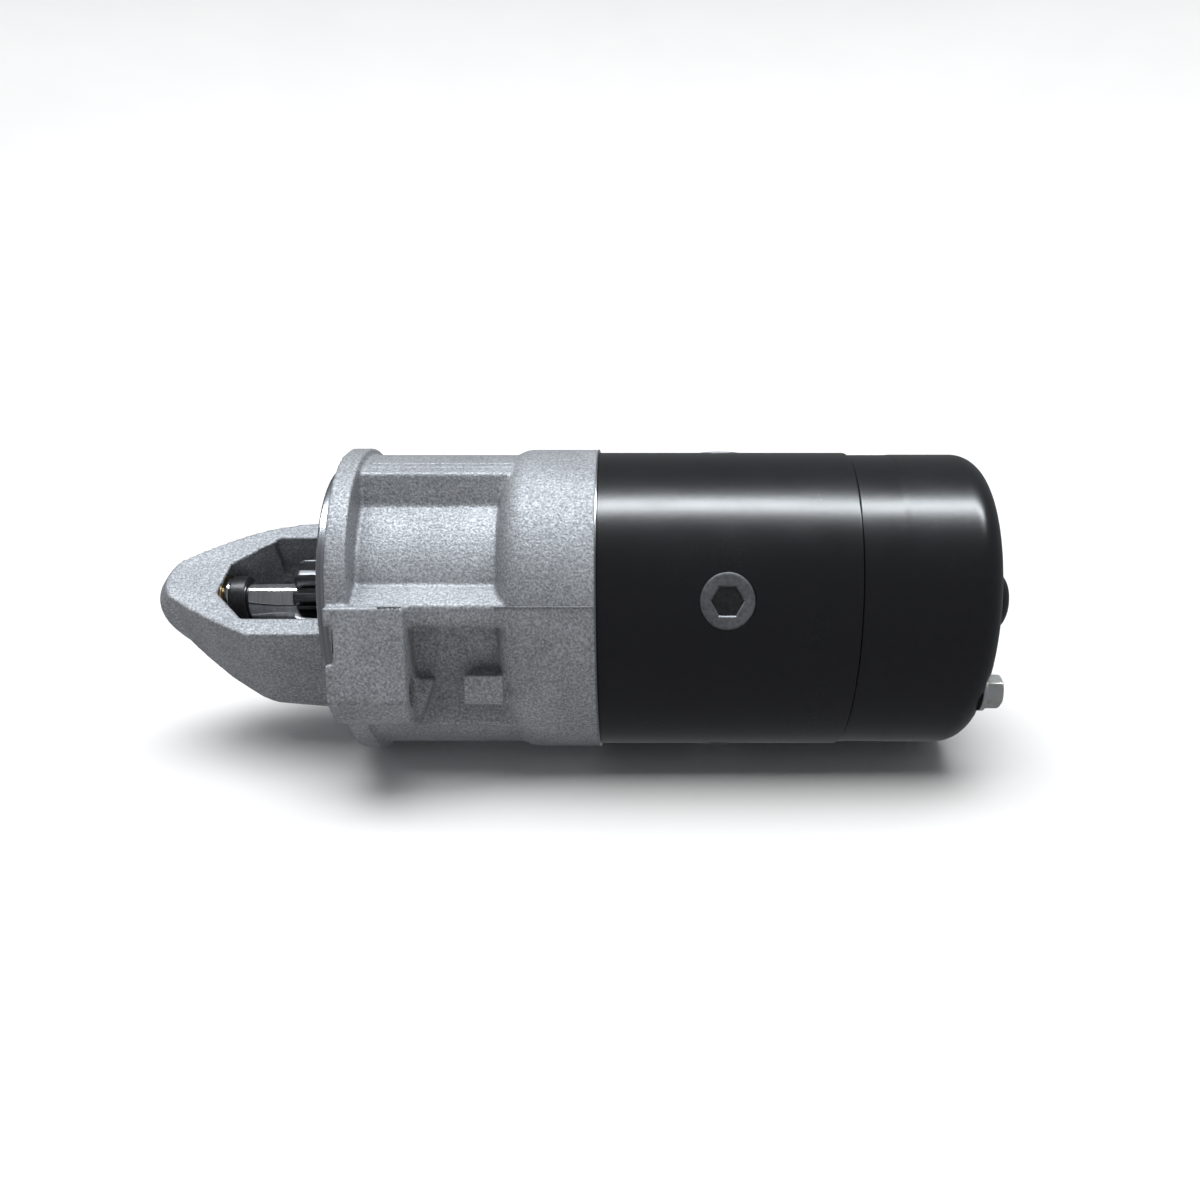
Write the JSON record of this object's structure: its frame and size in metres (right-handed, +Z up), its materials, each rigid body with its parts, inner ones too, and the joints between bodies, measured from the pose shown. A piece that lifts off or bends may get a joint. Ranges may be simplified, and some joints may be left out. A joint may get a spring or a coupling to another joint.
{
  "type": "starter motor",
  "caption": "Pre-engaged starter motor: cast drive housing with open nose, black yoke and end cap, solenoid with shift lever, and a pinion that slides out and spins.",
  "frame": {"origin": "centre of the mounting face of the flange, on the motor axis", "axes": "+X along the motor axis from the flange to the end cap, nose towards -X; +Y towards the solenoid's side; +Z up as the starter lies on its housing and solenoid"},
  "size_m": [0.3025, 0.1652, 0.1048],
  "materials": {
    "cast_aluminium": "shot-blasted casting",
    "black_paint": "satin black",
    "bright_steel": "ground",
    "dark_steel": "phosphated",
    "zinc_plate": "zinc plated",
    "bronze": "sintered",
    "copper": "drawn",
    "winding": "varnished",
    "carbon": "pressed carbon and copper",
    "black_plastic": "moulded",
    "rubber": "moulded"
  },
  "bodies": {
    "frame": {"drive_housing": "cast_aluminium", "nose_bush": "bronze", "bearing_plate": "bright_steel", "centre_bush": "bronze", "plate_screws": "zinc_plate", "yoke": "black_paint", "pole_shoes": "bright_steel", "pole_screws": "dark_steel", "field_coils": "winding", "end_cap": "black_paint", "rear_bush": "bronze", "through_bolts": "zinc_plate", "bolt_washers": "zinc_plate", "brush_plate": "bright_steel", "brush_holders": "zinc_plate", "brushes": "carbon", "brush_springs": "bright_steel", "lever_pin": "zinc_plate", "solenoid_body": "black_paint", "solenoid_core": "bright_steel", "solenoid_coil": "winding", "return_spring": "bright_steel", "solenoid_cap": "black_plastic", "terminal_studs": "copper", "terminal_nuts": "zinc_plate", "trigger_terminal": "bronze", "solenoid_screws": "zinc_plate", "motor_lead": "copper", "lead_grommet": "rubber"},
    "drive": {"clutch_shell": "dark_steel", "clutch_rollers": "bright_steel", "drive_sleeve": "bright_steel", "meshing_spring": "bright_steel"},
    "pinion": {"pinion": "dark_steel"},
    "armature": {"armature_shaft": "bright_steel", "armature_core": "dark_steel", "armature_windings": "winding", "commutator": "copper", "stop_collar": "dark_steel", "thrust_washers": "bright_steel"},
    "lever": {"shift_lever": "dark_steel"},
    "plunger": {"plunger": "zinc_plate"},
    "contact": {"contact_rod": "bright_steel", "contact_disc": "copper"}
  },
  "joints": [
    {"name": "armature_spin", "type": "hinge", "parent": "frame", "child": "armature", "pos_m": [0, 0, 0], "axis": [1, 0, 0], "continuous": true},
    {"name": "drive_slide", "type": "slide", "parent": "armature", "child": "drive", "axis": [-1, 0, 0], "range_m": [0, 0.0187]},
    {"name": "pinion_overrun", "type": "hinge", "parent": "drive", "child": "pinion", "pos_m": [0, 0, 0], "axis": [1, 0, 0], "continuous": true},
    {"name": "plunger_slide", "type": "slide", "parent": "frame", "child": "plunger", "axis": [1, 0, 0], "range_m": [0, 0.012], "stiffness_N_per_m": 2500, "springref_m": -0.01, "deforming": ["return_spring"]},
    {"name": "lever_swing", "type": "hinge", "parent": "frame", "child": "lever", "pos_m": [0.03365, 0.0456, -0.015], "axis": [0, -0.3125, -0.9499], "range_deg": [0, 22.02]},
    {"name": "contact_slide", "type": "slide", "parent": "frame", "child": "contact", "axis": [1, 0, 0], "range_m": [0, 0.0025]}
  ],
  "couplings": [
    {"joint": "drive_slide", "follows": "plunger_slide", "ratio": 1.5583},
    {"joint": "lever_swing", "follows": "plunger_slide", "rad_per_m": 32.033},
    {"joint": "contact_slide", "follows": "plunger_slide", "ratio": 0.20833}
  ]
}
